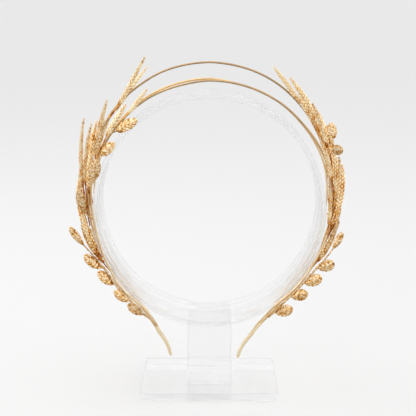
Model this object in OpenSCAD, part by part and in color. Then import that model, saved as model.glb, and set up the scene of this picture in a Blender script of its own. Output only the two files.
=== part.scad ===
/* [Stand] */
// Width of the square base plate
base_w = 76; // [64:1:90]
// Depth of the base plate, front to back
base_d = 76; // [66:1:90]
// Thickness of the base plate
base_t = 4; // [3:0.5:8]
// Width of the upright block
post_w = 25; // [16:1:40]
// Height of the upright block, from the plate to the underside of the ring
post_h = 33.5; // [30:0.5:50]
// Outer diameter of the ring that carries the crown
ring_od = 130; // [120:1:145]
// Wall of the ring
ring_wall = 2.5; // [2:0.1:4]
// Depth of the ring and the upright, front to back
ring_depth = 50; // [44:1:60]
// How far the ring's middle lies behind the plate's middle
ring_back = 6; // [0:0.5:8]
// Thickness of the cement in the joints of the stand
cement = 0.1; // [0.05:0.05:0.2]

/* [Band] */
// Diameter of each of the three wires
wire_d = 1.2; // [1:0.05:1.5]
// Clearance between the ring and a wire where the band grips it
ring_gap = 0.2; // [0.15:0.05:0.4]
// Rise of the front and back wires at the top of the band
wire_rise = 6.4; // [5:0.1:8]
// Rise of the middle wire at the top of the band
crest_rise = 16; // [13:0.5:18]
// Distance from the front wire to the back wire
wire_spread = 34; // [30:0.5:40]
// Clearance between the ring's front face and the front wire, which hangs just before it
front_gap = 0.4; // [0.3:0.05:0.8]
// How far the crown sits up from the ring's middle
crown_up = 1.4; // [1:0.1:1.5]
// How much tighter the crown is bent than the ring
crown_tight = 0.8; // [0.6:0.05:0.85]
// Thickness of the soldered end tips
tip_d = 2.1; // [1.8:0.1:2.6]
// Thickness at the very end of a tip
tip_end_d = 1.5; // [1:0.1:1.8]
// How far both end tips are turned round the ring, in degrees
end_turn = 2; // [-4:0.5:4]
// How far the crown's shoulders sit off to its right side
crown_lean = 1.2; // [0:0.1:1.3]

/* [Ears] */
// Width of a grain ear
ear_w = 2.4; // [1.6:0.1:2.8]
// Thickness of a grain ear, as a share of its width
ear_flat = 0.72; // [0.5:0.02:0.9]
// Length of two grains that lie side by side in the chevron
grain_pitch = 3; // [1.8:0.1:3.5]
// How far the grains stand out, as a share of the ear's half width
grain_relief = 0.24; // [0.1:0.02:0.3]

/* [Leaves] */
// Width of a laurel leaf
leaf_w = 5.6; // [4:0.1:6]
// Thickness of a laurel leaf at its midrib
leaf_t = 1; // [0.7:0.05:1.3]
// Depth of the teeth on a leaf's edge, as a share of its half width
tooth = 0.1; // [0:0.01:0.15]
// Thickness of the stalks and of the sprigs' stems
stalk_d = 0.9; // [0.7:0.05:1.1]
// How far a sprig's stem stands off its wire at its upper end
stem_rise = 2.2; // [1.5:0.1:2.5]
// Length over which a sprig's stem leaves its wire, in degrees round the ring
stem_fork = 14; // [12:1:16]
// How far a sprig's stem reaches down past its first leaf, in degrees round the ring
stem_foot = 3.4; // [2.4:0.2:4.4]
// Clearance between a stalk and the wire that it lies on
stalk_gap = 0.15; // [0.1:0.05:0.3]

/* [Hidden] */
GOLD = [0.86, 0.66, 0.4];
CLEAR = [0.86, 0.9, 0.92, 0.35];

ring_r = ring_od / 2;
ring_z = base_t + cement + post_h + cement + ring_r;
half_spread = wire_spread / 2;
crown_forward = ring_depth / 2 - half_spread + wire_d / 2 + front_gap;
wire_seat = wire_d / 2 + ring_gap;
stalk_seat = wire_d / 2 + stalk_gap + stalk_d / 2;
stem_seat = stalk_seat + 0.1;

// The front and back wires, from the top of the band down to one end. The front wire runs
// before the ring's front face and turns under the ring below it.
// [angle from the top, lift share of wire_rise, depth share, lean share]
FRONT_WIRE = [
    [0, 1, 1, 0],
    [13, 0.93, 1, 0.25],
    [28, 0.875, 1, 0.25],
    [36, 0.81, 1, 0.4],
    [46, 0.7, 1, 0.5],
    [59, 0.64, 1, 0.7],
    [70, 0.545, 1, 0.8],
    [82, 0.33, 1, 0.67],
    [95, 0.12, 1, 0.95],
    [104, 0.07, 1, 1.05],
    [114, 0.02, 1, 0.5],
    [121, 0.02, 1, 0.3],
    [128, 0.12, 1, -0.3],
    [134, 0.13, 1, -0.4],
    [140, 0.16, 1.01, -0.45],
    [145, 0.27, 1.03, -0.45],
    [147, 0.4, 0.97, -0.35],
    [150, 0.72, 0.7, -0.2],
    [153, 1.06, 0.42, 0],
    [156.5, 1.53, 0.16, 0],
    [160, 2.1, 0.04, 0],
    [164, 2.75, 0, 0],
    [166, 3.25, 0, 0],
    [167.5, 3.85, 0, 0]
];

BACK_WIRE = [
    [0, 0.84, 1, 0],
    [20, 0.82, 1, 0.2],
    [34, 0.8, 1, 0.4],
    [46, 0.74, 1, 0.5],
    [59, 0.66, 1, 0.7],
    [70, 0.56, 1, 0.8],
    [82, 0.42, 1, 0.6],
    [95, 0.26, 1, 0.3],
    [104, 0.2, 1, 0],
    [114, 0.22, 1, 0],
    [126, 0.26, 0.97, 0],
    [133, 0.3, 0.9, 0],
    [138, 0.36, 0.8, 0],
    [143, 0.5, 0.66, 0],
    [147, 0.7, 0.5, 0],
    [150, 0.92, 0.38, 0],
    [153, 1.18, 0.26, 0],
    [156.5, 1.55, 0.13, 0],
    [160, 2.1, 0.04, 0],
    [164, 2.75, 0, 0],
    [166, 3.25, 0, 0],
    [167.5, 3.85, 0, 0]
];

// The middle wire: [angle from the top, lift share of crest_rise, lean share]
MIDDLE_WIRE = [
    [0, 0.975, 0],
    [18, 0.92, -0.1],
    [28, 0.845, 0],
    [37, 0.76, -0.1],
    [46, 0.66, -0.2],
    [59, 0.49, -0.1],
    [75, 0.37, 0.4],
    [90, 0.265, 0.7],
    [103, 0.18, 0.3],
    [116, 0.13, 0],
    [130, 0.13, 0],
    [138, 0.17, 0],
    [144, 0.27, 0],
    [149, 0.4, 0],
    [153, 0.53, 0],
    [156.5, 0.67, 0],
    [160, 0.84, 0]
];
BEAD_START = 157.2;
WIRE_END = 158.4;
TIP_ANGLES = [160.5, 162, 163.5, 164.7, 165.7, 166.7, 167.5];

// Grain ears. Wire: -1 front, 0 middle, 1 back. Seat: 0 lies on the outside of the wire,
// 90 in front of it and -90 behind it. The tip's lift is a share of crest_rise and its
// depth, forwards, a share of half_spread. Stalk is the share of the length without grains,
// and bend is how late the ear leaves its wire.
// [wire, seat, base angle, tip angle, tip lift, tip depth, width, stalk, bend]
LEFT_EAR_ROWS = [
    [0, 90, 49, 22.7, 1.7, 0.35, 1.1, 0.25, 2],
    [0, -90, 52, 23.8, 1.33, -0.3, 0.95, 0.25, 2],
    [0, 75, 70, 43, 1.17, 0.5, 1.15, 0.25, 1.9],
    [0, 0, 100, 54.1, 1.37, 0.35, 1, 0.4, 1.85],
    [0, 50, 92, 53.8, 1.04, 0.5, 1, 0.3, 1.6],
    [-1, 90, 43, 26.8, 0.68, 1.12, 1.1, 0.2, 1.7],
    [-1, 50, 66, 37.5, 0.63, 1.15, 1.35, 0.42, 1.9],
    [0, 120, 82, 48.5, 0.74, 0.8, 1.15, 0.2, 1.2],
    [-1, 50, 114, 91, 0.38, 1.2, 1.4, 0.2, 0.8],
    [1, 20, 92, 60, 0.85, -0.75, 1.2, 0.25, 1.3],
    [-1, -60, 88, 60, 0.62, 0.85, 1.2, 0.2, 1.3],
    [0, -70, 80, 53, 0.95, -0.35, 1.2, 0.25, 1.4],
    [-1, 0, 113, 77, 0.66, 0.62, 1.4, 0.15, 0.85],
    [0, 0, 124, 102, 0.5, -0.2, 1.4, 0.25, 1],
    [0, 60, 119, 97, 0.48, 0.75, 1.3, 0.2, 0.7],
    [1, 60, 80, 46, 0.75, -0.3, 1.3, 0.3, 1.3]
];
RIGHT_EAR_ROWS = [
    [0, 60, 52, 24.1, 1.37, 0.2, 1.1, 0.45, 1.8],
    [0, 60, 58, 31.5, 1.29, 0.3, 1.4, 0.3, 1.1],
    [0, -60, 64, 37.5, 1.17, -0.25, 1.4, 0.3, 1.4],
    [0, 75, 72, 44, 1.08, 0.45, 1.3, 0.3, 1.4],
    [0, -75, 79, 50, 1.02, -0.5, 1.3, 0.3, 1.4],
    [0, 0, 86, 55, 0.98, 0, 1.3, 0.35, 1.4],
    [-1, 20, 84, 56, 0.5, 1.2, 1, 0.3, 1.2],
    [-1, -60, 92, 60, 0.85, 0.75, 1.2, 0.3, 1.3],
    [0, 70, 100, 68, 0.84, 0.45, 1.3, 0.3, 1.3],
    [1, 0, 90, 58, 0.85, -0.75, 1.2, 0.25, 1.3],
    [-1, 110, 102, 76, 0.22, 1.19, 0.95, 0.18, 2.4],
    [-1, -60, 106, 76, 0.74, 0.6, 1.3, 0.2, 1.2],
    [0, 110, 60, 33, 0.98, 0.6, 1.1, 0.2, 1],
    [0, 30, 124, 98, 0.5, 0.5, 1.4, 0.25, 1],
    [-1, 30, 97, 70.6, 0.83, 0.85, 1.4, 0.2, 0.85]
];

// Laurel leaves, with the wires, seats and shares of the ears. Turn is how far the blade
// is rolled from facing the front, in degrees, shoulder above 1 moves its widest place
// towards the tip, and foot is the share of the length that is stalk alone.
// [wire, seat, base angle, tip angle, tip lift, tip depth, width, turn, shoulder, bend, foot]
LEFT_LEAF_ROWS = [
    [-1, 110, 51, 38.1, -0.02, 1.2, 1.1, 20, 0.8, 0.8, 0.12],
    [-1, 110, 65, 54, 0, 1.22, 1, 20, 1.1, 0.8, 0.2],
    [-1, 110, 77.5, 65.2, 0.2, 1.2, 1.15, 15, 1, 1, 0.15],
    [-1, 0, 91, 79.8, 0.56, 1, 0.9, 60, 1, 0.8, 0.2],
    [0, -75, 90, 76, 0.74, -0.35, 1, 60, 1, 0.8, 0.2],
    [-1, 90, 94, 80.5, 0.54, 1.3, 0.9, 20, 1, 0.5, 0.2],
    [0, 0, 102, 88, 0.66, -0.15, 1, 60, 1, 0.8, 0.2],
    [1, 0, 101, 88, 0.6, -0.9, 1, -60, 1, 0.8, 0.2],
    [1, -80, 82, 70, 0.5, -1.15, 1, -60, 1, 0.8, 0.2],
    [0, 60, 103, 83, 0.66, 0.4, 0.9, 50, 1, 0.8, 0.2]
];
RIGHT_LEAF_ROWS = [
    [-1, 10, 66, 54.2, 1.13, 0.8, 0.9, 10, 1, 0.55, 0.5],
    [-1, 0, 61.5, 65.6, 1.01, 1.2, 1.05, 15, 1.1, 1, 0.45],
    [-1, 0, 106, 95, 0.5, 0.98, 0.9, 60, 1, 0.8, 0.2],
    [0, 0, 94, 80, 0.76, -0.15, 1, 60, 1, 0.8, 0.2],
    [0, 0, 105, 91, 0.62, 0.1, 1, 60, 1, 0.8, 0.2],
    [1, 20, 97, 84, 0.6, -0.85, 1, -60, 1, 0.8, 0.2],
    [1, -80, 80, 68, 0.55, -1.15, 1, -60, 1, 0.8, 0.2]
];

// Lower sprigs: the angles of their broad leaves and of the narrow one at the end.
// [stem angle, tip angle, tip lift share of crest_rise, width, turn, bend, foot]
RIGHT_SPRIG_ROWS = [
    [147.5, 139.9, 0.52, 1.2, 15, 0.75, 0.18],
    [137.5, 130.3, 0.47, 1.2, 10, 0.75, 0.18],
    [128.5, 120.9, 0.53, 1.2, 15, 0.7, 0.18],
    [119, 112.8, 0.67, 1.2, 10, 0.65, 0.18],
    [116, 99.5, 0.66, 0.7, 20, 1, 0.5]
];
LEFT_SPRIG_ROWS = [
    [150, 140, 0.43, 1, 30, 0.6, 0.18],
    [139.8, 130.5, 0.34, 1, 30, 0.55, 0.18],
    [128.8, 119, 0.41, 1, 30, 0.55, 0.18],
    [119.2, 109.8, 0.6, 1, 30, 0.65, 0.18],
    [116.5, 97, 0.875, 0.7, 20, 1.35, 0.55]
];
BACK_SPRIG_ROWS = [
    [147.5, 139, 0.42, 0.9, 62, 0.75, 0.18],
    [138, 129.5, 0.36, 0.9, 62, 0.75, 0.18],
    [129, 120.5, 0.38, 0.9, 62, 0.75, 0.18],
    [119.5, 111, 0.45, 0.9, 62, 0.75, 0.18],
    [115, 101, 0.55, 0.6, 40, 0.9, 0.3]
];
SPRIG_NAMES = ["left_front_sprig", "left_back_sprig", "right_front_sprig", "right_back_sprig"];

LEFT_EARS = len(LEFT_EAR_ROWS);
RIGHT_EARS = len(RIGHT_EAR_ROWS);
LEFT_LEAVES = len(LEFT_LEAF_ROWS);
RIGHT_LEAVES = len(RIGHT_LEAF_ROWS);
SPRIGS = len(SPRIG_NAMES);

// Smooth curve through the rows of a table, whose first column is the place.
function slope(rows, col, i) =
    let (a = max(i - 1, 0), b = min(i + 1, len(rows) - 1))
    (rows[b][col] - rows[a][col]) / (rows[b][0] - rows[a][0]);
function row_before(rows, x, i = 0) =
    i >= len(rows) - 2 || x < rows[i + 1][0] ? i : row_before(rows, x, i + 1);
function curve(rows, col, x) =
    let (
        i = row_before(rows, x),
        h = rows[i + 1][0] - rows[i][0],
        t = (x - rows[i][0]) / h,
        p = rows[i][col],
        q = rows[i + 1][col],
        m = slope(rows, col, i) * h,
        n = slope(rows, col, i + 1) * h
    )
    p + m * t + (3 * (q - p) - 2 * m - n) * t * t + (2 * (p - q) + m + n) * t * t * t;

// Lift and depth of a wire's centre line at a signed angle, positive to the right.
function side_rows(wire) = wire < 0 ? FRONT_WIRE : BACK_WIRE;
function side_lift(rows, a) =
    wire_rise * curve(rows, 1, abs(a)) + crown_lean * sign(a) * curve(rows, 3, abs(a));
function middle_lift(a) =
    crest_rise * curve(MIDDLE_WIRE, 1, abs(a)) + crown_lean * sign(a) * curve(MIDDLE_WIRE, 2, abs(a));
function wire_lift(wire, a) = wire_seat + (wire == 0 ? middle_lift(a) : side_lift(side_rows(wire), a));
function wire_depth(wire, a) = wire * half_spread * curve(side_rows(wire), 2, abs(a));

// A point of the crown: angle round it, lift from its round, and depth from its middle wire.
// The round has nearly the ring's radius, and lies before and over the ring's middle.
function turned(a) = a + end_turn * min(max((abs(a) - 138) / 22, 0), 1);
function spot(a, lift, depth) =
    let (r = ring_r - crown_tight + lift)
    [r * sin(turned(a)), ring_back - crown_forward + depth, ring_z + crown_up + r * cos(turned(a))];
function wire_spot(wire, a) = spot(a, wire_lift(wire, a), wire_depth(wire, a));

function unit(v) = v / norm(v);
function heading(path, i) = unit(path[min(i + 1, len(path) - 1)] - path[max(i - 1, 0)]);

// One cross-section: an outline in the plane across the path, rolled by turn.
function section(p, along, outline, turn) =
    let (
        out = unit(cross(along, [0, 1, 0])),
        side = cross(along, out),
        u = out * cos(turn) + side * sin(turn),
        v = side * cos(turn) - out * sin(turn)
    )
    [for (q = outline) p + u * q[0] + v * q[1]];

// A closed solid through cross-sections that all have the same number of points.
module loft(rings) {
    n = len(rings[0]);
    last = (len(rings) - 1) * n;
    walls = [
        for (i = [0:len(rings) - 2], j = [0:n - 1])
            let (a = i * n + j, b = i * n + (j + 1) % n)
            each [[a, b + n, b], [a, a + n, b + n]]
    ];
    caps = [for (j = [1:n - 2]) each [[0, j, j + 1], [last, last + j + 1, last + j]]];
    polyhedron([for (r = rings) each r], concat(walls, caps), convexity = 6);
}

function round_outline(d, sides) =
    [for (k = [0:sides - 1]) d / 2 * [cos(k * 360 / sides), sin(k * 360 / sides)]];

module wire(which) {
    steps = 36;
    path = [for (i = [-steps:steps]) wire_spot(which, WIRE_END * i / steps)];
    loft([for (i = [0:2 * steps]) section(path[i], heading(path, i), round_outline(wire_d, 6), 0)]);
}

function tip_spot(side, k) = spot(side * TIP_ANGLES[k], wire_lift(-1, side * TIP_ANGLES[k]), 0);

module tip(side) {
    last = len(TIP_ANGLES) - 1;
    bead = side * BEAD_START;
    hull() {
        for (which = [-1, 1])
            translate(wire_spot(which, bead)) sphere(d = wire_d * 1.15, $fn = 8);
        translate(tip_spot(side, 0)) sphere(d = tip_d, $fn = 8);
    }
    for (i = [0:last - 1])
        hull()
            for (k = [i, i + 1])
                translate(tip_spot(side, k)) sphere(d = tip_d + (tip_end_d - tip_d) * k / last, $fn = 8);
}

module band() {
    color(GOLD) {
        for (which = [-1, 0, 1]) wire(which);
        for (side = [-1, 1]) tip(side);
    }
}

// The line of a stalk, from its seat beside a wire out to the tip of its ear or leaf.
function sprout_spot(row, side, t, bend) =
    let (
        lift = wire_lift(row[0], side * row[2]) + stalk_seat * cos(row[1]),
        depth = wire_depth(row[0], row[2]) - stalk_seat * sin(row[1]),
        rise = pow(t, bend)
    )
    spot(
        side * (row[2] + (row[3] - row[2]) * t),
        lift + (crest_rise * row[4] - lift) * rise,
        depth + (-half_spread * row[5] - depth) * rise
    );

EAR_OUTLINE = [[1, 0], [0, 0.5], [-1, 0], [0, -0.5]];
STALK_OUTLINE = [[1, 0], [0.5, 0.5], [-0.5, 0.5], [-1, 0], [-0.5, -0.5], [0.5, -0.5]];

function ear_width(t) = t < 0.15 ? 0.5 + t / 0.3 : t < 0.5 ? 1 : 1 - 0.8 * pow((t - 0.5) / 0.5, 1.6);

module ear(row, side) {
    length = norm(sprout_spot(row, side, 1, row[8]) - sprout_spot(row, side, row[7], row[8]));
    steps = 2 * max(4, round(length / grain_pitch));
    stalk = [for (t = [0, 0.5, 0.96]) t * row[7]];
    places = concat(stalk, [for (i = [0:steps]) row[7] + (1 - row[7]) * i / steps]);
    path = [for (t = places) sprout_spot(row, side, t, row[8])];
    outlines = [
        for (i = [0:len(places) - 1])
            let (
                k = i - len(stalk),
                w = ear_w * row[6] / 2 * ear_width(max(k, 0) / steps),
                lean = k % 2 == 0 ? grain_relief : -grain_relief
            )
            k < 0
                ? [for (q = EAR_OUTLINE) stalk_d / 2 * [q[0], q[1] * 2]]
                : [for (q = EAR_OUTLINE) w * [q[0] * (1 + sign(q[0]) * lean), 2 * q[1] * ear_flat]]
    ];
    color(GOLD)
        loft([for (i = [0:len(path) - 1]) section(path[i], heading(path, i), outlines[i], 0)]);
}

// Places along a leaf, closer together towards its tip.
function leaf_places(steps) = [for (i = [0:steps]) 1 - pow(1 - i / steps, 1.3)];

// Half width of a leaf as a share of its greatest, along its blade.
function leaf_width(t, shoulder) = pow(sin(180 * pow(t, shoulder)), 0.5);

// The outline of a blade's cross-section: two edges, a ribbed upper side and a plain back.
function leaf_outline(w, t, vein) = [
    [w, 0], [w * 0.5, t * (0.26 + vein)], [0, t * 0.6],
    [-w * 0.5, t * (0.26 + vein)], [-w, 0], [0, -t * 0.4]
];

// Leaf on a path from the stalk's foot to the leaf's tip, with the blade past the share foot.
module blade(path, places, foot, width, turn, shoulder) {
    last = len(path) - 1;
    outlines = [
        for (i = [0:last])
            let (
                t = (places[i] - foot) / (1 - foot),
                odd = i % 2 == 0 ? 1 : -1,
                w = width / 2 * (leaf_width(max(min(t, 0.985), 0.0), shoulder) * (1 + tooth * odd))
            )
            t <= 0.04
                ? [for (q = STALK_OUTLINE) stalk_d / 2 * [q[0], q[1] * 2]]
                : leaf_outline(max(w, stalk_d / 2), leaf_t, 0.08 * odd)
    ];
    loft([for (i = [0:last]) section(path[i], heading(path, i), outlines[i], turn)]);
}

module leaf(row, side) {
    places = leaf_places(10);
    path = [for (t = places) sprout_spot(row, side, t, row[9])];
    color(GOLD)
        blade(path, places, row[10], leaf_w * row[6], side * row[7], row[8]);
}

// Lower sprig: a stem along its wire, with one leaf at each row of its table.
// The stem leaves its wire on its last stretch, and stands stem_rise off it at its end.
function stem_lift(face, a, end) =
    let (share = max(end + stem_fork - abs(a), 0) / stem_fork)
    wire_lift(face, a) + stem_seat + stem_rise * pow(share, 1.2);
function stem_spot(face, a, end) = spot(a, stem_lift(face, a, end), wire_depth(face, a));

module sprig_leaf(row, side, face, end) {
    places = leaf_places(9);
    lift = stem_lift(face, side * row[0], end);
    depth = wire_depth(face, row[0]);
    path = [
        for (t = places)
            spot(
                side * (row[0] + (row[1] - row[0]) * t),
                lift + (crest_rise * row[2] - lift) * pow(t, row[5]),
                depth + face * sin(90 * t)
            )
    ];
    blade(path, places, row[6], leaf_w * row[3], side * face * row[4], 1.05);
}

module sprig(rows, side, face) {
    steps = 10;
    foot = rows[0][0] + stem_foot;
    end = rows[len(rows) - 1][0];
    color(GOLD) {
        for (i = [0:steps - 1])
            hull()
                for (k = [i, i + 1])
                    translate(stem_spot(face, side * (foot + (end - foot) * k / steps), end))
                        sphere(d = stalk_d, $fn = 6);
        for (row = rows) sprig_leaf(row, side, face, end);
    }
}

module stand_base() {
    color(CLEAR)
        translate([-base_w / 2, -base_d / 2, 0])
            cube([base_w, base_d, base_t]);
}

module stand_upright() {
    color(CLEAR)
        difference() {
            translate([-post_w / 2, ring_back - ring_depth / 2, base_t + cement])
                cube([post_w, ring_depth, post_h + ring_r / 2]);
            translate([0, ring_back, ring_z])
                rotate([90, 0, 0])
                    cylinder(r = ring_r + cement, h = ring_depth + 2, center = true, $fn = 120);
        }
}

module stand_ring() {
    color(CLEAR)
        translate([0, ring_back, ring_z])
            rotate([90, 0, 0])
                difference() {
                    cylinder(r = ring_r, h = ring_depth, center = true, $fn = 120);
                    cylinder(r = ring_r - ring_wall, h = ring_depth + 2, center = true, $fn = 120);
                }
}

stand_base();
stand_upright();
stand_ring();
band();
sprig(LEFT_SPRIG_ROWS, -1, -1);  // left_front_sprig
sprig(BACK_SPRIG_ROWS, -1, 1);  // left_back_sprig
sprig(RIGHT_SPRIG_ROWS, 1, -1);  // right_front_sprig
sprig(BACK_SPRIG_ROWS, 1, 1);  // right_back_sprig
for (i = [1:LEFT_EARS])
    ear(LEFT_EAR_ROWS[i - 1], -1);
for (i = [1:RIGHT_EARS])
    ear(RIGHT_EAR_ROWS[i - 1], 1);
for (i = [1:LEFT_LEAVES])
    leaf(LEFT_LEAF_ROWS[i - 1], -1);
for (i = [1:RIGHT_LEAVES])
    leaf(RIGHT_LEAF_ROWS[i - 1], 1);
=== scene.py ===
"""Looks of the laurel wreath crown and its clear stand.

Every length of the crown and its stand is in millimetres until place() turns it into metres.
The camera, the lamps and the floor are in metres. The rows of the wires, ears and leaves are
the same as in the solids, so each piece lies where its solid does, and the rows of the sprigs
differ only in the feet and widths of their broad leaves.
"""

import math
import random

import bpy
from mathutils import Matrix, Vector


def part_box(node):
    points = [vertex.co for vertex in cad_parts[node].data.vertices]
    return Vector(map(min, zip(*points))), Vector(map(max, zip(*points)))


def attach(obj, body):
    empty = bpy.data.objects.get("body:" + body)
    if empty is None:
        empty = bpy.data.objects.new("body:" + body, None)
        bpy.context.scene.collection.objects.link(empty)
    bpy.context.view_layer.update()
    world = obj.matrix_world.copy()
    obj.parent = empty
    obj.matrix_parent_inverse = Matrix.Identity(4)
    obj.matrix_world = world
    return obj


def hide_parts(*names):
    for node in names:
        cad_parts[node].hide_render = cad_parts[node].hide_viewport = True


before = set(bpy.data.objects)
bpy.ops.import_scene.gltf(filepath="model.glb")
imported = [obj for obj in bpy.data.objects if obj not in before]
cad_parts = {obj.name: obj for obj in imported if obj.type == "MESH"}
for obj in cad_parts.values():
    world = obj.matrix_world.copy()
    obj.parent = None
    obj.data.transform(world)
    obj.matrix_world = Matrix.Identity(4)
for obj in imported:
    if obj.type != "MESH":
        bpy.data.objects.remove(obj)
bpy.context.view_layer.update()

MM = 0.001
SEED = 7

# Sizes
RING_LOW, RING_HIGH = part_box("stand_ring")
RING_R = (RING_HIGH.x - RING_LOW.x) / 2 / MM
RING_WALL = 2.5
RING_DEPTH = (RING_HIGH.y - RING_LOW.y) / MM
RING_Y = (RING_HIGH.y + RING_LOW.y) / 2 / MM
RING_Z = (RING_HIGH.z + RING_LOW.z) / 2 / MM

WIRE_D = 1.2
RING_GAP = 0.2  # between a wire and the ring
FACE_GAP = 0.4  # from the ring's front face to the front wire
SOLDER_GAP = 0.15  # between a stalk and its wire
WIRE_RISE = 6.4  # what a lift share of 1 is on the front and back wires
CREST_RISE = 16  # what a lift share of 1 is on the middle wire, ears and leaves
HALF_SPREAD = 17  # from the middle wire to the front one, and to the back one
CROWN_LEAN = 1.2  # what a lean share of 1 adds to the lift on the right, and takes on the left
CROWN_UP = 1.4
CROWN_TIGHT = 0.8  # how much smaller the crown's round is than the ring's
CROWN_Y = RING_Y - (RING_DEPTH / 2 - HALF_SPREAD + WIRE_D / 2 + FACE_GAP)
CROWN_Z = RING_Z + CROWN_UP
WIRE_SEAT = WIRE_D / 2 + RING_GAP

# Both ends of the crown are turned clockwise, in degrees, from an angle on and eased in.
END_TURN = 2
END_TURN_FROM = 138
END_TURN_OVER = 22

STALK_D = 0.9
STALK_R = STALK_D * 0.42  # as drawn, a little thinner than the solid
STALK_SEAT = WIRE_D / 2 + SOLDER_GAP + STALK_D / 2
EAR_W = 2.4
EAR_FLAT = 0.72  # an ear's depth as a share of its width
LEAF_W = 5.6
LEAF_T = 1

# A sprig's stem starts some degrees below its first leaf, and leaves its wire on the last ones.
STEM_D = STALK_D * 1.4
STEM_SEAT = STALK_SEAT + 0.1
STEM_RISE = 2.2
STEM_FORK = 14
STEM_FOOT = 3.4
STEM_SUNK = 0.6  # how far its start lies in towards the wire
STEM_STEPS = 40

# Front and back wires: angle from the top, lift share of WIRE_RISE, depth share, lean share.
FRONT_WIRE = (
    (0, 1, 1, 0), (13, 0.93, 1, 0.25), (28, 0.875, 1, 0.25), (36, 0.81, 1, 0.4), (46, 0.7, 1, 0.5),
    (59, 0.64, 1, 0.7), (70, 0.545, 1, 0.8), (82, 0.33, 1, 0.67), (95, 0.12, 1, 0.95),
    (104, 0.07, 1, 1.05), (114, 0.02, 1, 0.5), (121, 0.02, 1, 0.3), (128, 0.12, 1, -0.3),
    (134, 0.13, 1, -0.4), (140, 0.16, 1.01, -0.45), (145, 0.27, 1.03, -0.45),
    (147, 0.4, 0.97, -0.35), (150, 0.72, 0.7, -0.2), (153, 1.06, 0.42, 0), (156.5, 1.53, 0.16, 0),
    (160, 2.1, 0.04, 0), (164, 2.75, 0, 0), (166, 3.25, 0, 0), (167.5, 3.85, 0, 0),
)
BACK_WIRE = (
    (0, 0.84, 1, 0), (20, 0.82, 1, 0.2), (34, 0.8, 1, 0.4), (46, 0.74, 1, 0.5), (59, 0.66, 1, 0.7),
    (70, 0.56, 1, 0.8), (82, 0.42, 1, 0.6), (95, 0.26, 1, 0.3), (104, 0.2, 1, 0),
    (114, 0.22, 1, 0), (126, 0.26, 0.97, 0), (133, 0.3, 0.9, 0), (138, 0.36, 0.8, 0),
    (143, 0.5, 0.66, 0), (147, 0.7, 0.5, 0), (150, 0.92, 0.38, 0), (153, 1.18, 0.26, 0),
    (156.5, 1.55, 0.13, 0), (160, 2.1, 0.04, 0), (164, 2.75, 0, 0), (166, 3.25, 0, 0),
    (167.5, 3.85, 0, 0),
)
# Middle wire: angle from the top, lift share of CREST_RISE, lean share.
MIDDLE_WIRE = (
    (0, 0.975, 0), (18, 0.92, -0.1), (28, 0.845, 0), (37, 0.76, -0.1), (46, 0.66, -0.2),
    (59, 0.49, -0.1), (75, 0.37, 0.4), (90, 0.265, 0.7), (103, 0.18, 0.3), (116, 0.13, 0),
    (130, 0.13, 0), (138, 0.17, 0), (144, 0.27, 0), (149, 0.4, 0), (153, 0.53, 0),
    (156.5, 0.67, 0), (160, 0.84, 0),
)
WIRE_END = 158.4  # angle at which the wires go into the tip

# Ears: wire, seat, base angle, tip angle, tip lift, tip depth, width, stalk share, bend.
LEFT_EAR_ROWS = (
    (0, 90, 49, 22.7, 1.7, 0.35, 1.1, 0.25, 2),
    (0, -90, 52, 23.8, 1.33, -0.3, 0.95, 0.25, 2),
    (0, 75, 70, 43, 1.17, 0.5, 1.15, 0.25, 1.9),
    (0, 0, 100, 54.1, 1.37, 0.35, 1, 0.4, 1.85),
    (0, 50, 92, 53.8, 1.04, 0.5, 1, 0.3, 1.6),
    (-1, 90, 43, 26.8, 0.68, 1.12, 1.1, 0.2, 1.7),
    (-1, 50, 66, 37.5, 0.63, 1.15, 1.35, 0.42, 1.9),
    (0, 120, 82, 48.5, 0.74, 0.8, 1.15, 0.2, 1.2),
    (-1, 50, 114, 91, 0.38, 1.2, 1.4, 0.2, 0.8),
    (1, 20, 92, 60, 0.85, -0.75, 1.2, 0.25, 1.3),
    (-1, -60, 88, 60, 0.62, 0.85, 1.2, 0.2, 1.3),
    (0, -70, 80, 53, 0.95, -0.35, 1.2, 0.25, 1.4),
    (-1, 0, 113, 77, 0.66, 0.62, 1.4, 0.15, 0.85),
    (0, 0, 124, 102, 0.5, -0.2, 1.4, 0.25, 1),
    (0, 60, 119, 97, 0.48, 0.75, 1.3, 0.2, 0.7),
    (1, 60, 80, 46, 0.75, -0.3, 1.3, 0.3, 1.3),
)
RIGHT_EAR_ROWS = (
    (0, 60, 52, 24.1, 1.37, 0.2, 1.1, 0.45, 1.8),
    (0, 60, 58, 31.5, 1.29, 0.3, 1.4, 0.3, 1.1),
    (0, -60, 64, 37.5, 1.17, -0.25, 1.4, 0.3, 1.4),
    (0, 75, 72, 44, 1.08, 0.45, 1.3, 0.3, 1.4),
    (0, -75, 79, 50, 1.02, -0.5, 1.3, 0.3, 1.4),
    (0, 0, 86, 55, 0.98, 0, 1.3, 0.35, 1.4),
    (-1, 20, 84, 56, 0.5, 1.2, 1, 0.3, 1.2),
    (-1, -60, 92, 60, 0.85, 0.75, 1.2, 0.3, 1.3),
    (0, 70, 100, 68, 0.84, 0.45, 1.3, 0.3, 1.3),
    (1, 0, 90, 58, 0.85, -0.75, 1.2, 0.25, 1.3),
    (-1, 110, 102, 76, 0.22, 1.19, 0.95, 0.18, 2.4),
    (-1, -60, 106, 76, 0.74, 0.6, 1.3, 0.2, 1.2),
    (0, 110, 60, 33, 0.98, 0.6, 1.1, 0.2, 1),
    (0, 30, 124, 98, 0.5, 0.5, 1.4, 0.25, 1),
    (-1, 30, 97, 70.6, 0.83, 0.85, 1.4, 0.2, 0.85),
)
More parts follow.
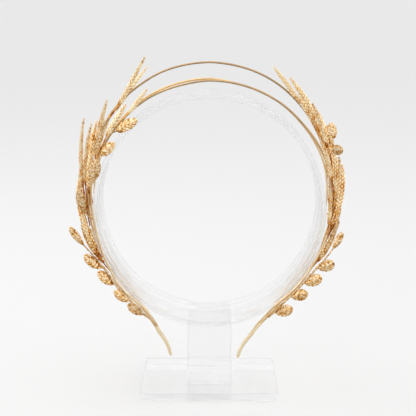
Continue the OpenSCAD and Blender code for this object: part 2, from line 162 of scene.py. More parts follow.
# Leaves: wire, seat, base angle, tip angle, tip lift, tip depth, width, turn, shoulder, bend, foot.
LEFT_LEAF_ROWS = (
    (-1, 110, 51, 38.1, -0.02, 1.2, 1.1, 20, 0.8, 0.8, 0.12),
    (-1, 110, 65, 54, 0, 1.22, 1, 20, 1.1, 0.8, 0.2),
    (-1, 110, 77.5, 65.2, 0.2, 1.2, 1.15, 15, 1, 1, 0.15),
    (-1, 0, 91, 79.8, 0.56, 1, 0.9, 60, 1, 0.8, 0.2),
    (0, -75, 90, 76, 0.74, -0.35, 1, 60, 1, 0.8, 0.2),
    (-1, 90, 94, 80.5, 0.54, 1.3, 0.9, 20, 1, 0.5, 0.2),
    (0, 0, 102, 88, 0.66, -0.15, 1, 60, 1, 0.8, 0.2),
    (1, 0, 101, 88, 0.6, -0.9, 1, -60, 1, 0.8, 0.2),
    (1, -80, 82, 70, 0.5, -1.15, 1, -60, 1, 0.8, 0.2),
    (0, 60, 103, 83, 0.66, 0.4, 0.9, 50, 1, 0.8, 0.2),
)
RIGHT_LEAF_ROWS = (
    (-1, 10, 66, 54.2, 1.13, 0.8, 0.9, 10, 1, 0.55, 0.5),
    (-1, 0, 61.5, 65.6, 1.01, 1.2, 1.05, 15, 1.1, 1, 0.45),
    (-1, 0, 106, 95, 0.5, 0.98, 0.9, 60, 1, 0.8, 0.2),
    (0, 0, 94, 80, 0.76, -0.15, 1, 60, 1, 0.8, 0.2),
    (0, 0, 105, 91, 0.62, 0.1, 1, 60, 1, 0.8, 0.2),
    (1, 20, 97, 84, 0.6, -0.85, 1, -60, 1, 0.8, 0.2),
    (1, -80, 80, 68, 0.55, -1.15, 1, -60, 1, 0.8, 0.2),
)
# Sprigs: stem angle, tip angle, tip lift, width, turn, bend, foot.
RIGHT_SPRIG_ROWS = (
    (147.5, 139.9, 0.52, 1.12, 15, 0.75, 0.06), (137.5, 130.3, 0.47, 1.12, 10, 0.75, 0.06),
    (128.5, 120.9, 0.53, 1.12, 15, 0.7, 0.06), (119, 112.8, 0.67, 1.12, 10, 0.65, 0.06),
    (116, 99.5, 0.66, 0.7, 20, 1, 0.5),
)
LEFT_SPRIG_ROWS = (
    (150, 140, 0.43, 1, 30, 0.6, 0.06), (139.8, 130.5, 0.34, 1, 30, 0.55, 0.06),
    (128.8, 119, 0.41, 1, 30, 0.55, 0.06), (119.2, 109.8, 0.6, 1, 30, 0.65, 0.06),
    (116.5, 97, 0.875, 0.7, 20, 1.35, 0.55),
)
BACK_SPRIG_ROWS = (
    (147.5, 139, 0.42, 0.9, 62, 0.75, 0.06), (138, 129.5, 0.36, 0.9, 62, 0.75, 0.06),
    (129, 120.5, 0.38, 0.9, 62, 0.75, 0.06), (119.5, 111, 0.45, 0.9, 62, 0.75, 0.06),
    (115, 101, 0.55, 0.6, 40, 0.9, 0.3),
)
SPRIGS = (
    ("left_front_sprig", LEFT_SPRIG_ROWS, -1, -1),
    ("left_back_sprig", BACK_SPRIG_ROWS, -1, 1),
    ("right_front_sprig", RIGHT_SPRIG_ROWS, 1, -1),
    ("right_back_sprig", BACK_SPRIG_ROWS, 1, 1),
)


# Lines of the crown
def clamped(share):
    return min(max(share, 0), 1)


def curve(rows, col, x):
    """A smooth curve through the rows of a table, whose first column is the place."""
    last = len(rows) - 1
    i = next((k for k in range(last - 1) if x < rows[k + 1][0]), last - 1)

    def slope(k):
        a, b = max(k - 1, 0), min(k + 1, last)
        return (rows[b][col] - rows[a][col]) / (rows[b][0] - rows[a][0])

    h = rows[i + 1][0] - rows[i][0]
    t = (x - rows[i][0]) / h
    p, q, m, n = rows[i][col], rows[i + 1][col], slope(i) * h, slope(i + 1) * h
    return p + m * t + (3 * (q - p) - 2 * m - n) * t * t + (2 * (p - q) + m + n) * t**3


def side_rows(wire):
    return FRONT_WIRE if wire < 0 else BACK_WIRE


def wire_lift(wire, a):
    """Lift of a wire's centre line at a signed angle, positive to the right."""
    lean = CROWN_LEAN * ((a > 0) - (a < 0))
    if wire == 0:
        rows = MIDDLE_WIRE
        return WIRE_SEAT + CREST_RISE * curve(rows, 1, abs(a)) + lean * curve(rows, 2, abs(a))
    rows = side_rows(wire)
    return WIRE_SEAT + WIRE_RISE * curve(rows, 1, abs(a)) + lean * curve(rows, 3, abs(a))


def wire_depth(wire, a):
    return wire * HALF_SPREAD * curve(side_rows(wire), 2, abs(a))


def spot(a, lift, depth):
    """A point of the crown: angle round it, lift from its round, depth from its middle wire."""
    turned = math.radians(a + END_TURN * clamped((abs(a) - END_TURN_FROM) / END_TURN_OVER))
    r = RING_R - CROWN_TIGHT + lift
    return Vector((r * math.sin(turned), CROWN_Y + depth, CROWN_Z + r * math.cos(turned)))


def sprout_line(row, side, bend):
    """The line of a stalk, from its seat beside a wire out to the tip of its ear or leaf."""
    seat = math.radians(row[1])
    lift = wire_lift(row[0], side * row[2]) + STALK_SEAT * math.cos(seat)
    depth = wire_depth(row[0], row[2]) - STALK_SEAT * math.sin(seat)

    def at(t):
        rise = t**bend
        return spot(
            side * (row[2] + (row[3] - row[2]) * t),
            lift + (CREST_RISE * row[4] - lift) * rise,
            depth + (-HALF_SPREAD * row[5] - depth) * rise,
        )

    return at


def stem_lift(face, a, end):
    """Lift of a sprig's stem, which leaves its wire on its last stretch."""
    share = max(end + STEM_FORK - abs(a), 0) / STEM_FORK
    return wire_lift(face, a) + STEM_SEAT + STEM_RISE * share**2


def sprig_line(row, side, face, end):
    """The line of one leaf of a sprig."""
    lift = stem_lift(face, side * row[0], end)
    depth = wire_depth(face, row[0])

    def at(t):
        return spot(
            side * (row[0] + (row[1] - row[0]) * t),
            lift + (CREST_RISE * row[2] - lift) * t ** row[5],
            depth + face * math.sin(math.radians(90 * t)),
        )

    return at


def length_of(line, steps=12):
    points = [line(i / steps) for i in range(steps + 1)]
    return sum((b - a).length for a, b in zip(points, points[1:]))


# Modelling tools
def nothing_selected():
    if bpy.context.mode != "OBJECT":
        bpy.ops.object.mode_set(mode="OBJECT")
    bpy.ops.object.select_all(action="DESELECT")


def pick(*pieces):
    """Makes these pieces the selected ones, and the first of them the active one."""
    nothing_selected()
    for piece in pieces:
        piece.select_set(True)
    bpy.context.view_layer.objects.active = pieces[0]


def new_piece(name):
    """The primitive that was just added, under its own name."""
    piece = bpy.context.active_object
    piece.name = piece.data.name = name
    return piece


def move(piece, chosen, step):
    """Moves the vertices whose place is chosen."""
    change(piece, chosen, lambda: bpy.ops.transform.translate(value=step))


def stretch(piece, chosen, share, center):
    """Scales the vertices whose place is chosen about a centre."""
    change(piece, chosen, lambda: bpy.ops.transform.resize(value=share, center_override=center))


def change(piece, chosen, act):
    pick(piece)
    for part in (*piece.data.polygons, *piece.data.edges):
        part.select = False
    picked = 0
    for v in piece.data.vertices:
        v.select = bool(chosen(v.co))
        picked += v.select
    if not picked:
        return
    bpy.context.tool_settings.mesh_select_mode = (True, False, False)
    bpy.ops.object.mode_set(mode="EDIT")
    act()
    bpy.ops.object.mode_set(mode="OBJECT")


def finish_with(piece, kind, **settings):
    """Adds a modifier and applies it."""
    pick(piece)
    modifier = piece.modifiers.new(kind.lower(), kind)
    for key, value in settings.items():
        setattr(modifier, key, value)
    bpy.ops.object.modifier_apply(modifier=modifier.name)


TONE = "tone"  # the attribute on a piece's points that holds it


def shade(piece, tone_at):
    """Writes on each point its tone, painted shade from 0 in the deepest dips to 1 on the tops."""
    marks = piece.data.attributes.new(TONE, "FLOAT", "POINT")
    for mark, v in zip(marks.data, piece.data.vertices):
        mark.value = clamped(tone_at(v.co))


def fade(piece, share_at):
    """Darkens each point's tone to a share of it."""
    for mark, v in zip(piece.data.attributes[TONE].data, piece.data.vertices):
        mark.value *= share_at(v.co)


def copy_of(pattern, matrix):
    """One more piece like the pattern, with its own mesh, put in place by a matrix."""
    mesh = pattern.data.copy()
    mesh.transform(matrix)
    piece = bpy.data.objects.new(pattern.name, mesh)
    bpy.context.scene.collection.objects.link(piece)
    return piece


def joined(name, pieces):
    pick(*pieces)
    if len(pieces) > 1:
        bpy.ops.object.join()
    return new_piece(name)


def scaled(x, y, z):
    return Matrix.Diagonal((x, y, z, 1))


def sections(line, steps, turn):
    """Cross-sections along a line, one before its start and one past its end: centre, across, up."""
    points = [line(i / steps) for i in range(steps + 1)]
    points = [2 * points[0] - points[1], *points, 2 * points[-1] - points[-2]]
    roll = math.radians(turn)
    rows = []
    for i, p in enumerate(points):
        along = (points[min(i + 1, steps + 2)] - points[max(i - 1, 0)]).normalized()
        out = along.cross(Vector((0, 1, 0))).normalized()
        side = along.cross(out)
        rows.append((
            p,
            out * math.cos(roll) + side * math.sin(roll),
            side * math.cos(roll) - out * math.sin(roll),
        ))
    return rows


CAGE_REACH = 6  # how far the bending cage reaches to each side of a piece


def bend_onto(piece, length, rows):
    """Bends a straight piece, which lies along X from 0 to its length, onto cross-sections."""
    cage_data = bpy.data.lattices.new("cage")
    cage = bpy.data.objects.new("cage", cage_data)
    bpy.context.scene.collection.objects.link(cage)
    cage_data.points_u, cage_data.points_v, cage_data.points_w = len(rows), 2, 2
    cage_data.interpolation_type_u = "KEY_CATMULL_ROM"
    cage_data.interpolation_type_v = cage_data.interpolation_type_w = "KEY_LINEAR"
    low, high = cage_data.points[0].co.copy(), cage_data.points[-1].co.copy()
    cell = length / (len(rows) - 3)
    size = Vector((
        (length + 2 * cell) / (high.x - low.x),
        2 * CAGE_REACH / (high.y - low.y),
        2 * CAGE_REACH / (high.z - low.z),
    ))
    start = Vector((-cell - low.x * size.x, -CAGE_REACH - low.y * size.y, -CAGE_REACH - low.z * size.z))
    cage.matrix_world = Matrix.Translation(start) @ scaled(*size)
    back = cage.matrix_world.inverted()
    for k, point in enumerate(cage_data.points):
        centre, across, up = rows[k % len(rows)]
        v = 1 if (k // len(rows)) % 2 else -1
        w = 1 if k // (2 * len(rows)) else -1
        point.co_deform = back @ (centre + CAGE_REACH * (v * across + w * up))
    bpy.context.view_layer.update()
    finish_with(piece, "LATTICE", object=cage)
    bpy.data.objects.remove(cage)
    bpy.data.lattices.remove(cage_data)


def place(piece, body, slot, finish, *nodes, smooth=40):
    """Turns millimetres into metres, gives the piece its finish and body and hides the nodes' solids; the
    slot is not used.
    """
    piece.data.transform(scaled(MM, MM, MM))
    piece.data.materials.clear()
    piece.data.materials.append(finish)
    pick(piece)
    bpy.ops.object.shade_smooth_by_angle(angle=math.radians(smooth))
    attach(piece, body)
    if nodes:
        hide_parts(*nodes)


# Materials
def material(name):
    """An empty node material: its tree, a Principled shader and the object's coordinates."""
    made = bpy.data.materials.new(name)
    made.use_nodes = True
    tree = made.node_tree
    shader = next(n for n in tree.nodes if n.type == "BSDF_PRINCIPLED")
    coords = tree.nodes.new("ShaderNodeTexCoord").outputs["Object"]
    return made, tree, shader, coords


def noise(tree, coords, scale, detail=3.0, rough=0.5):
    node = tree.nodes.new("ShaderNodeTexNoise")
    node.inputs["Scale"].default_value = scale
    node.inputs["Detail"].default_value = detail
    node.inputs["Roughness"].default_value = rough
    tree.links.new(coords, node.inputs["Vector"])
    return node.outputs["Fac"]


def ramp(tree, value, *stops):
    node = tree.nodes.new("ShaderNodeValToRGB")
    marks = node.color_ramp.elements
    while len(marks) < len(stops):
        marks.new(0.5)
    for mark, (at, colour) in zip(marks, stops):
        mark.position = at
        mark.color = (*colour, 1)
    tree.links.new(value, node.inputs["Fac"])
    return node.outputs["Color"]


def spread(tree, value, low, high):
    node = tree.nodes.new("ShaderNodeMapRange")
    node.inputs["To Min"].default_value = low
    node.inputs["To Max"].default_value = high
    tree.links.new(value, node.inputs["Value"])
    return node.outputs["Result"]


def bump(tree, value, strength, distance):
    node = tree.nodes.new("ShaderNodeBump")
    node.inputs["Strength"].default_value = strength
    node.inputs["Distance"].default_value = distance
    tree.links.new(value, node.inputs["Height"])
    return node.outputs["Normal"]


def mixed(tree, a, b, share):
    """Two values, one faded into the other."""
    node = tree.nodes.new("ShaderNodeMix")
    node.inputs["Factor"].default_value = share
    tree.links.new(a, node.inputs["A"])
    tree.links.new(b, node.inputs["B"])
    return node.outputs["Result"]


def tone(tree):
    """Painted shade: how far a point stands out of its piece's dips, 0 in the deepest, 1 on the tops."""
    node = tree.nodes.new("ShaderNodeAttribute")
    node.attribute_name = TONE
    return node.outputs["Fac"]


def pebbles(tree, coords, scale):
    """Rounded granules: high in the middle of each, low between them."""
    node = tree.nodes.new("ShaderNodeTexVoronoi")
    node.inputs["Scale"].default_value = scale
    tree.links.new(coords, node.inputs["Vector"])
    return spread(tree, node.outputs["Distance"], 1, 0)


def wire_gold():
    """Drawn gold wire with faint streaks, with painted light and shade from its tone."""
    made, tree, shader, coords = material("drawn_gold_wire")
    height = mixed(tree, tone(tree), noise(tree, coords, 160, 3), 0.4)
    colour = ramp(
        tree, height,
        (0.12, (0.38, 0.26, 0.15)), (0.28, (0.5, 0.34, 0.18)), (0.5, (0.72, 0.47, 0.21)),
        (0.8, (0.95, 0.79, 0.53)),
    )
    tree.links.new(colour, shader.inputs["Base Color"])
    tree.links.new(spread(tree, noise(tree, coords, 700), 0.28, 0.4), shader.inputs["Roughness"])
    tree.links.new(bump(tree, noise(tree, coords, 2500), 0.15, 0.00005), shader.inputs["Normal"])
    shader.inputs["Metallic"].default_value = 1
    return made


def shifted_by_place(tree, coords, value, way_up, lows, highs):
    """Adds a shift to a tone. Lows and highs are each a place along the way up and its shift."""
    along = tree.nodes.new("ShaderNodeVectorMath")
    along.operation = "DOT_PRODUCT"
    along.inputs[1].default_value = way_up
    tree.links.new(coords, along.inputs[0])
    shift = tree.nodes.new("ShaderNodeMapRange")
    shift.inputs["From Min"].default_value, shift.inputs["To Min"].default_value = lows
    shift.inputs["From Max"].default_value, shift.inputs["To Max"].default_value = highs
    tree.links.new(along.outputs["Value"], shift.inputs["Value"])
    both = tree.nodes.new("ShaderNodeMath")
    both.operation = "ADD"
    tree.links.new(value, both.inputs[0])
    tree.links.new(shift.outputs["Result"], both.inputs[1])
    return both.outputs["Value"]


def ear_gold():
    """Cast gold of the ears: pale grains, with painted shade in dark brown between them."""
    made, tree, shader, coords = material("ear_gold")
    along = tree.nodes.new("ShaderNodeMapping")
    along.inputs["Scale"].default_value = (1, 1, 0.5)
    tree.links.new(coords, along.inputs["Vector"])
    patches = spread(tree, noise(tree, along.outputs["Vector"], 480, 2, 0.6), -1.2, 2.1)
    height = mixed(tree, tone(tree), patches, 0.4)
    # Painted light paler towards the top, and painted shade a little darker towards the back.
    height = shifted_by_place(tree, coords, height, (0, -3, 4), (0.2, -0.2), (0.7, 0.1))
    colour = ramp(
        tree, height,
        (0.12, (0.32, 0.08, 0.003)), (0.26, (0.74, 0.31, 0.035)),
        (0.42, (0.89, 0.58, 0.23)), (0.68, (1.0, 0.88, 0.62)),
    )
    tree.links.new(colour, shader.inputs["Base Color"])
    tree.links.new(spread(tree, noise(tree, coords, 900), 0.2, 0.42), shader.inputs["Roughness"])
    tree.links.new(bump(tree, noise(tree, coords, 1800, 2), 0.4, 0.0001), shader.inputs["Normal"])
    shader.inputs["Metallic"].default_value = 1
    return made


def leaf_gold():
    """Cast gold of the leaves: granulated all over, pale on top, painted shade in brown between granules.
    """
    made, tree, shader, coords = material("leaf_gold")
    granules = pebbles(tree, coords, 750)
    height = mixed(tree, mixed(tree, tone(tree), granules, 0.7), noise(tree, coords, 300, 2), 0.2)
    # Painted shade: a little darker low down.
    height = shifted_by_place(tree, coords, height, (0, 0, 1), (0.05, -0.04), (0.15, 0))
    colour = ramp(
        tree, height,
        (0.24, (0.28, 0.09, 0.008)), (0.39, (0.64, 0.34, 0.09)),
        (0.55, (0.79, 0.58, 0.34)), (0.78, (0.95, 0.84, 0.66)),
    )
    tree.links.new(colour, shader.inputs["Base Color"])
    tree.links.new(spread(tree, granules, 0.5, 0.24), shader.inputs["Roughness"])
    tree.links.new(bump(tree, granules, 0.8, 0.0003), shader.inputs["Normal"])
    shader.inputs["Metallic"].default_value = 1
    return made


def clear_acrylic():
    """Clear cast acrylic, with the faintest haze from handling."""
    made, tree, shader, coords = material("clear_acrylic")
    shader.inputs["Base Color"].default_value = (0.94, 0.945, 0.945, 1)
    shader.inputs["Transmission Weight"].default_value = 1
    shader.inputs["IOR"].default_value = 1.49
    shader.inputs["Alpha"].default_value = 0.55
    tree.links.new(spread(tree, noise(tree, coords, 60), 0.04, 0.09), shader.inputs["Roughness"])
    return made


WIRE_GOLD = wire_gold()
EAR_GOLD = ear_gold()
LEAF_GOLD = leaf_gold()
ACRYLIC = clear_acrylic()

# Camera, light and floor
lens = bpy.data.cameras.new("camera")
lens.sensor_width = 36
lens.lens = 118.4
lens.shift_x = -0.0036
lens.clip_end = 200
camera = bpy.data.objects.new("camera", lens)
camera.location = (0, -0.7684, 0.2227)
camera.rotation_euler = (math.radians(90 - 8.93), 0, 0)
bpy.context.scene.collection.objects.link(camera)
bpy.context.scene.camera = camera
bpy.context.scene.view_settings.view_transform = "Standard"


def lamp(name, size, power, location, target):
    data = bpy.data.lights.new(name, "AREA")
    data.shape = "DISK"
    data.size = size
    data.energy = power
    light = bpy.data.objects.new(name, data)
    light.location = location
    light.rotation_euler = (Vector(target) - Vector(location)).to_track_quat("-Z", "Y").to_euler()
    bpy.context.scene.collection.objects.link(light)


lamp("top_softbox", 1.0, 2.6, (-0.4, 0.1, 1.3), (0, 0, 0.1))
lamp("left_softbox", 0.5, 1.4, (-1.1, -0.5, 0.8), (0, 0, 0.12))

nothing_selected()
bpy.ops.mesh.primitive_circle_add(
    vertices=128, radius=60, fill_type="NGON", location=(0, 0, -0.0002),
)
floor = new_piece("floor")
floor.data.transform(floor.matrix_world)
floor.matrix_world = Matrix.Identity(4)
floor_finish, tree, shader, coords = material("pale_floor")
shader.inputs["Roughness"].default_value = 0.9
shader.inputs["Specular IOR Level"].default_value = 0.1
shader.inputs["Base Color"].default_value = (0.9, 0.9, 0.9, 1)
floor.data.materials.append(floor_finish)
floor.visible_glossy = False

world = bpy.data.worlds.new("studio")
bpy.context.scene.world = world
world.use_nodes = True
tree = world.node_tree
sky = next(n for n in tree.nodes if n.type == "BACKGROUND")
way = tree.nodes.new("ShaderNodeTexCoord").outputs["Generated"]
split = tree.nodes.new("ShaderNodeSeparateXYZ")
tree.links.new(way, split.inputs["Vector"])


def graded(value, *stops):
    """A grey that follows a value from -1 to 1."""
    share = tree.nodes.new("ShaderNodeMapRange")
    share.inputs["From Min"].default_value = -1
    tree.links.new(value, share.inputs["Value"])
    return ramp(tree, share.outputs["Result"], *[(at, (grey, grey, grey)) for at, grey in stops])


def product(a, b):
    node = tree.nodes.new("ShaderNodeMix")
    node.data_type = "RGBA"
    node.blend_type = "MULTIPLY"
    node.inputs["Factor"].default_value = 1
    tree.links.new(a, node.inputs["A"])
    tree.links.new(b, node.inputs["B"])
    return node.outputs["Result"]


# The room that the metal mirrors: white all round, but for a dark side in front and below.
dark_side = tree.nodes.new("ShaderNodeVectorMath")
dark_side.operation = "DOT_PRODUCT"
dark_side.inputs[1].default_value = Vector((0.1, -0.88, -0.46)).normalized()
tree.links.new(way, dark_side.inputs[0])
room = product(
    graded(
        dark_side.outputs["Value"],
        (0.0, 0.8), (0.12, 0.8), (0.35, 1.0), (0.6, 1.0), (0.78, 0.92), (0.9, 0.8), (1.0, 0.72),
    ),
    graded(split.outputs["Z"], (0.0, 0.8), (0.5, 0.95), (0.7, 1.4), (1.0, 1.8)),
)
paths = tree.nodes.new("ShaderNodeLightPath")
mirrored = tree.nodes.new("ShaderNodeMath")
mirrored.operation = "SUBTRACT"
mirrored.use_clamp = True
tree.links.new(paths.outputs["Is Glossy Ray"], mirrored.inputs[0])
tree.links.new(paths.outputs["Is Transmission Ray"], mirrored.inputs[1])
choice = tree.nodes.new("ShaderNodeMix")
choice.data_type = "RGBA"
tree.links.new(mirrored.outputs["Value"], choice.inputs["Factor"])
choice.inputs["A"].default_value = (0.885, 0.885, 0.885, 1)
tree.links.new(room, choice.inputs["B"])
tree.links.new(choice.outputs["Result"], sky.inputs["Color"])
sky.inputs["Strength"].default_value = 1

# Patterns that are modelled once
nothing_selected()
bpy.ops.mesh.primitive_uv_sphere_add(segments=8, ring_count=6, radius=1)
grain = new_piece("grain")
grain.data.transform(Matrix.Rotation(math.radians(90), 4, "Y"))
stretch(grain, lambda p: p.x > 0.4, (1, 0.8, 0.8), (0, 0, 0))
stretch(grain, lambda p: p.x > 0.8, (1.15, 0.6, 0.6), (0, 0, 0))
stretch(grain, lambda p: p.x < -0.4, (1, 0.9, 0.9), (0, 0, 0))
# Painted shade: each grain is darker at its foot, down among the others, and pale at its tip.
shade(grain, lambda p: 0.5 + 0.75 * p.x)

STALK_PARTS = 8
nothing_selected()
bpy.ops.mesh.primitive_cylinder_add(
    vertices=8, radius=1, depth=1, rotation=(0, math.radians(90), 0), location=(0.5, 0, 0),
)
stalk = new_piece("stalk")
stalk.data.transform(stalk.matrix_world)
stalk.matrix_world = Matrix.Identity(4)
for cut in range(1, STALK_PARTS):
    change(
        stalk, lambda p: True,
        lambda: bpy.ops.mesh.bisect(plane_co=(cut / STALK_PARTS, 0, 0), plane_no=(1, 0, 0)),
    )
shade(stalk, lambda p: 0.34)

# Outline of an ear's core: place along it, share of its width.
EAR_CORE = ((0, 0.5), (0.08, 0.8), (0.2, 1), (0.5, 1), (0.7, 0.88), (0.85, 0.64), (1, 0.3))
nothing_selected()
bpy.ops.mesh.primitive_circle_add(vertices=8, radius=1, fill_type="NGON")
core = new_piece("core")
core.data.transform(Matrix.Rotation(math.radians(90), 4, "Y"))
stretch(core, lambda p: True, (1, EAR_CORE[0][1], EAR_CORE[0][1]), (0, 0, 0))
for (a, wide), (b, wide_next) in zip(EAR_CORE, EAR_CORE[1:]):
    change(
        core, lambda p: abs(p.x - a) < 1e-4,
        lambda: bpy.ops.mesh.extrude_region_move(TRANSFORM_OT_translate={"value": (b - a, 0, 0)}),
    )
    stretch(core, lambda p: abs(p.x - b) < 1e-4, (1, wide_next / wide, wide_next / wide), (b, 0, 0))
change(core, lambda p: True, lambda: bpy.ops.mesh.normals_make_consistent(inside=False))
# Painted shade: the core lies deepest, down between the grains.
shade(core, lambda p: 0)

RIBS = 8
RIB_CUTS = 4  # columns of faces to a rib
RIB_HEIGHT = 0.3
MIDRIB_HEIGHT = 0.22
TOOTH = 0.16
LEAF_BODY = 0.55
OUTLINE_PARTS = 32


def leaf_half_width(t, shoulder):
    return math.sqrt(math.sin(math.pi * clamped(t) ** shoulder))


def leaf_pattern(shoulder):
    """A straight leaf, 1 long and 1 from its midrib to its edge, with ribs, teeth and thickness."""
    nothing_selected()
    bpy.ops.mesh.primitive_grid_add(
        x_subdivisions=RIBS * RIB_CUTS, y_subdivisions=6, size=1, location=(0.5, 0.5, 0),
    )
    half = new_piece("leaf")
    half.data.transform(half.matrix_world)
    half.matrix_world = Matrix.Identity(4)

    def column(p):
        return round(p.x * RIBS * RIB_CUTS) % RIB_CUTS

    move(half, lambda p: column(p) == 2 and p.y > 0.05, (0, 0, RIB_HEIGHT))
    move(half, lambda p: column(p) in (1, 3) and p.y > 0.05, (0, 0, RIB_HEIGHT / 2))
    move(half, lambda p: column(p) == 2 and p.y > 0.95, (0.008, TOOTH, 0))
    move(half, lambda p: p.y < 0.05, (0, 0, MIDRIB_HEIGHT))
    # Painted shade: pale on the ribs' tops, darker in the dips between them.
    shade(half, lambda p: 0.2 + 0.7 * p.z / RIB_HEIGHT if p.y > 0.05 else 0.8)
    # Painted shade along the edge, and darker towards the foot.
    fade(half, lambda p: (0.45 if p.y > 0.9 else 1) * (0.35 + 0.65 * min(p.x / 0.25, 1)))
    outline = bpy.data.lattices.new("outline")
    cage = bpy.data.objects.new("outline", outline)
    bpy.context.scene.collection.objects.link(cage)
    outline.points_u, outline.points_v, outline.points_w = OUTLINE_PARTS + 1, 2, 1
    outline.interpolation_type_u = outline.interpolation_type_v = "KEY_LINEAR"
    outline.interpolation_type_w = "KEY_LINEAR"
    low, high = outline.points[0].co.copy(), outline.points[-1].co.copy()
    size = Vector((1 / (high.x - low.x), 1 / (high.y - low.y), 1))
    cage.matrix_world = Matrix.Translation((-low.x * size.x, -low.y * size.y, 0)) @ scaled(*size)
    back = cage.matrix_world.inverted()
    for k, point in enumerate(outline.points):
        t = (k % (OUTLINE_PARTS + 1)) / OUTLINE_PARTS
        if k // (OUTLINE_PARTS + 1):
            edge = t + 0.85 * t * (1 - t)
            point.co_deform = back @ Vector((edge, max(leaf_half_width(edge, shoulder), 0.04), 0))
        else:
            point.co_deform = back @ Vector((t, 0, LEAF_BODY * math.sin(math.pi * t) ** 0.5))
    bpy.context.view_layer.update()
    finish_with(half, "LATTICE", object=cage)
    bpy.data.objects.remove(cage)
    finish_with(half, "MIRROR", use_axis=(False, True, False), merge_threshold=0.002)
    change(
        half, lambda p: True,
        lambda: bpy.ops.mesh.extrude_region_move(TRANSFORM_OT_translate={"value": (0, 0, -LEAF_BODY)}),
    )
    change(half, lambda p: True, lambda: bpy.ops.mesh.normals_make_consistent(inside=False))
    finish_with(half, "SUBSURF", levels=1, render_levels=1)
    return half


LEAF = leaf_pattern(1)
SPRIG_LEAF = leaf_pattern(1.25)
PATTERNS = [grain, stalk, core, LEAF, SPRIG_LEAF]


# Pieces of the crown
GRAIN_PITCH = 2.1
GRAIN_LEAN = 17  # degrees that a grain leans outwards, give or take its sway
GRAIN_SWAY = 4


def ear_width(t):
    """Share of an ear's width at a share of its length."""
    if t < 0.15:
        return 0.5 + t / 0.3
    return 1 if t < 0.5 else 1 - 0.7 * ((t - 0.5) / 0.5) ** 1.9


def ear(name, row, side):
    """A flat grain ear: a stalk, a core and four rows of grains that lean outwards."""
    chance = random.Random(f"{SEED}{name}")
    line = sprout_line(row, side, row[8])
    length = length_of(line)
    start = length * row[7]
    grown = length - start
    wide = EAR_W * row[6] / 2
    deep = wide * EAR_FLAT
    parts = [
        copy_of(stalk, scaled(start + 0.1 * grown, STALK_R, STALK_R)),
        copy_of(core, Matrix.Translation((start, 0, 0)) @ scaled(grown * 0.97, wide * 0.5, deep * 0.5)),
    ]
    count = max(4, round(grown / GRAIN_PITCH))
    for i in range(count):
        for which in range(4):
            t = (i + 0.35 + (0.5 if which > 1 else 0)) / count
            if t > 0.98:
                continue
            size = ear_width(t)
            sign = 1 if which % 2 else -1
            lean = math.radians(GRAIN_LEAN + chance.uniform(-GRAIN_SWAY, GRAIN_SWAY)) * sign
            long = GRAIN_PITCH * 0.72 * (0.75 + 0.25 * size)
            if which < 2:
                at = Vector((start + t * grown, sign * wide * 0.52 * size, 0))
                turn = Matrix.Rotation(lean, 4, "Z")
                grow = scaled(long, wide * 0.46 * size, deep * 0.62 * size)
            else:
                at = Vector((start + t * grown, 0, sign * deep * 0.5 * size))
                turn = Matrix.Rotation(-lean, 4, "Y")
                grow = scaled(long, wide * 0.5 * size, deep * 0.42 * size)
            parts.append(copy_of(grain, Matrix.Translation(at) @ turn @ grow))
    whole = joined(name + "_grains", parts)
    own = chance.uniform(0.9, 1.12)

    def joint_and_painted_shade(p):
        """Dark where the ear leaves its stalk, and painted shade down between its grains."""
        t = clamped((p.x - start) / grown)
        joint = 0.15 + 0.85 * min(t / 0.17, 1)
        return own * joint * (0.4 + 0.6 * min(abs(p.z) / (0.6 * deep * ear_width(t)), 1))

    fade(whole, joint_and_painted_shade)
    bend_onto(whole, length, sections(line, 14, 0))
    place(whole, "root", "cast_gold", EAR_GOLD, name)


def leaf_parts(pattern, line, foot, width, turn):
    """A leaf with its stalk, bent onto its line."""
    length = length_of(line)
    start = foot * length
    whole = joined("leaf", [
        copy_of(stalk, scaled(start + 0.55 * (length - start), STALK_R, STALK_R)),
        copy_of(
            pattern,
            Matrix.Translation((start, 0, 0)) @ scaled(length - start, width / 2, LEAF_T * 0.8),
        ),
    ])
    bend_onto(whole, length, sections(line, 12, turn))
    return whole


def leaf(name, row, side):
    whole = leaf_parts(LEAF, sprout_line(row, side, row[9]), row[10], LEAF_W * row[6], side * row[7])
    whole.name = name + "_ribbed"
    place(whole, "root", "cast_gold", LEAF_GOLD, name)


# Painted light: a wire is painted paler from a height down, where it hangs in the light.
PALE_BELOW = 160
PALE_OVER = 60
PALE_GAIN = 0.6


def tube(name, points, thickness, pale, sides=4):
    """A round wire along points, whose tone is pale at its top and more further down: painted light."""
    data = bpy.data.curves.new(name, "CURVE")
    data.dimensions = "3D"
    data.bevel_depth = thickness / 2
    data.bevel_resolution = sides
    data.use_fill_caps = True
    spline = data.splines.new("POLY")
    spline.points.add(len(points) - 1)
    for point, p in zip(spline.points, points):
        point.co = (*p, 1)
    piece = bpy.data.objects.new(name, data)
    bpy.context.scene.collection.objects.link(piece)
    pick(piece)
    bpy.ops.object.convert(target="MESH")
    made = new_piece(name)
    shade(made, lambda p: pale + PALE_GAIN * clamped((PALE_BELOW - p.z) / PALE_OVER))
    return made


def sprig(name, rows, side, face):
    """A stem along a side wire, with four broad leaves and a narrow one."""
    foot, end = rows[0][0] + STEM_FOOT, rows[-1][0]
    stem = []
    for k in range(STEM_STEPS + 1):
        a = side * (foot + (end - foot) * k / STEM_STEPS)
        sunk = STEM_SUNK * max((abs(a) - rows[0][0]) / STEM_FOOT, 0)
        stem.append(spot(a, stem_lift(face, a, end) - sunk, wire_depth(face, a)))
    parts = [tube("stem", stem, STEM_D, 0, 3)]
    for row in rows:
        line = sprig_line(row, side, face, end)
        parts.append(leaf_parts(SPRIG_LEAF, line, row[6], LEAF_W * row[3], side * face * row[4]))
    place(joined(name + "_ribbed", parts), "root", "cast_gold", LEAF_GOLD, name)


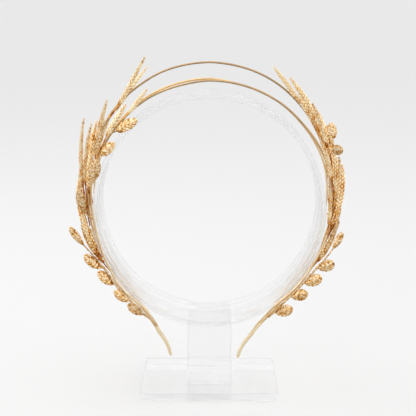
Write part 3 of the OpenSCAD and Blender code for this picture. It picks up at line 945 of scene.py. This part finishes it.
def merged_copy(node):
    """A copy of a solid, in millimetres, with its loose triangles merged."""
    piece = copy_of(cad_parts[node], scaled(1 / MM, 1 / MM, 1 / MM))
    change(piece, lambda p: True, lambda: bpy.ops.mesh.remove_doubles(threshold=0.001))
    return piece


def cut_away(piece, at, normal):
    """Cuts off the side that the normal points to, and closes the cut."""
    change(
        piece, lambda p: True,
        lambda: bpy.ops.mesh.bisect(plane_co=at, plane_no=normal, use_fill=True, clear_outer=True),
    )


SOLDER = 0.16  # thickness of the solder on a tip
TIP_FROM = 156.6  # angle at which a tip starts, just inside the ends of the wires
SIDE_CUT = 5  # distance from the middle at which the band is cut to leave one side
HALF_TIP = 0.6  # from the middle of a tip to where its tone is full


def tip(side):
    """The soldered end of the band, rounded as solder runs, with painted shade along its edges."""
    piece = merged_copy("band")
    cut_away(piece, (side * SIDE_CUT, 0, 0), (-side, 0, 0))
    a = math.radians(TIP_FROM)
    cut_away(
        piece, (side * RING_R * math.sin(a), 0, CROWN_Z + RING_R * math.cos(a)),
        (-side * math.cos(a), 0, math.sin(a)),
    )
    finish_with(piece, "REMESH", mode="VOXEL", voxel_size=0.14)
    finish_with(piece, "SMOOTH", factor=0.5, iterations=8)
    finish_with(piece, "DISPLACE", strength=SOLDER, mid_level=0)
    # Painted shade on its sides, paler at its front and back.
    shade(piece, lambda p: 0.25 + 0.75 * min(abs(p.y - CROWN_Y) / HALF_TIP, 1))
    return piece


# Front, middle and back wire: the tone of its painted shade, and how far it is moved off its line at
# its ends, where the wires lie side by side.
WIRE_LOOKS = {-1: (0.1, -1), 0: (0, 0), 1: (0.5, 0.6)}
ASIDE_FROM = 136
ASIDE_OVER = 12
WIRE_STEPS = 110

# The back wire lies lower than its line at the upper right, from the top down to an angle.
BACK_SINK = 1.1
SINK_IN_OVER = 12
SINK_TO = 75
SINK_OUT_OVER = 25


def band():
    """The three wires and their two soldered tips."""
    parts = []
    for which, (pale, aside) in WIRE_LOOKS.items():
        points = []
        for i in range(-WIRE_STEPS, WIRE_STEPS + 1):
            a = WIRE_END * i / WIRE_STEPS
            lift = wire_lift(which, a) + aside * clamped((abs(a) - ASIDE_FROM) / ASIDE_OVER)
            if which == 1:
                lift -= BACK_SINK * clamped(min(a / SINK_IN_OVER, (SINK_TO - a) / SINK_OUT_OVER))
            points.append(spot(a, lift, wire_depth(which, a)))
        parts.append(tube("wire", points, WIRE_D, pale))
    parts += [tip(-1), tip(1)]
    place(joined("band_wires", parts), "root", "wire_gold", WIRE_GOLD, "band")


band()
for name, rows, side, face in SPRIGS:
    sprig(name, rows, side, face)
for label, rows, side in (("left", LEFT_EAR_ROWS, -1), ("right", RIGHT_EAR_ROWS, 1)):
    for i, row in enumerate(rows):
        ear(f"{label}_ear_{i + 1}", row, side)
for label, rows, side in (("left", LEFT_LEAF_ROWS, -1), ("right", RIGHT_LEAF_ROWS, 1)):
    for i, row in enumerate(rows):
        leaf(f"{label}_leaf_{i + 1}", row, side)

# Stand
EDGE = 0.35  # rounding of the acrylic's edges


def ring():
    """The tube that the crown is pushed over."""
    nothing_selected()
    bpy.ops.mesh.primitive_cylinder_add(
        vertices=180, radius=RING_R, depth=RING_DEPTH, end_fill_type="NOTHING",
    )
    piece = new_piece("clear_ring")
    piece.data.transform(
        Matrix.Translation((0, RING_Y, RING_Z)) @ Matrix.Rotation(math.radians(90), 4, "X")
    )
    finish_with(piece, "SOLIDIFY", thickness=RING_WALL, offset=-1)
    finish_with(piece, "BEVEL", width=EDGE, segments=2, limit_method="ANGLE", angle_limit=math.radians(60))
    place(piece, "root", "clear_acrylic", ACRYLIC, "stand_ring", smooth=15)
    piece.visible_shadow = False


def block(name, node):
    """A flat-sided piece of the stand, like its solid but with rounded edges."""
    piece = merged_copy(node)
    change(piece, lambda p: True, lambda: bpy.ops.mesh.dissolve_limited(angle_limit=math.radians(1)))
    finish_with(piece, "BEVEL", width=EDGE, segments=2, limit_method="ANGLE", angle_limit=math.radians(30))
    piece.name = name
    place(piece, "root", "clear_acrylic", ACRYLIC, node, smooth=15)
    piece.visible_shadow = False


ring()
block("clear_upright", "stand_upright")
block("clear_plate", "stand_base")

for pattern in PATTERNS:
    bpy.data.objects.remove(pattern)
nothing_selected()
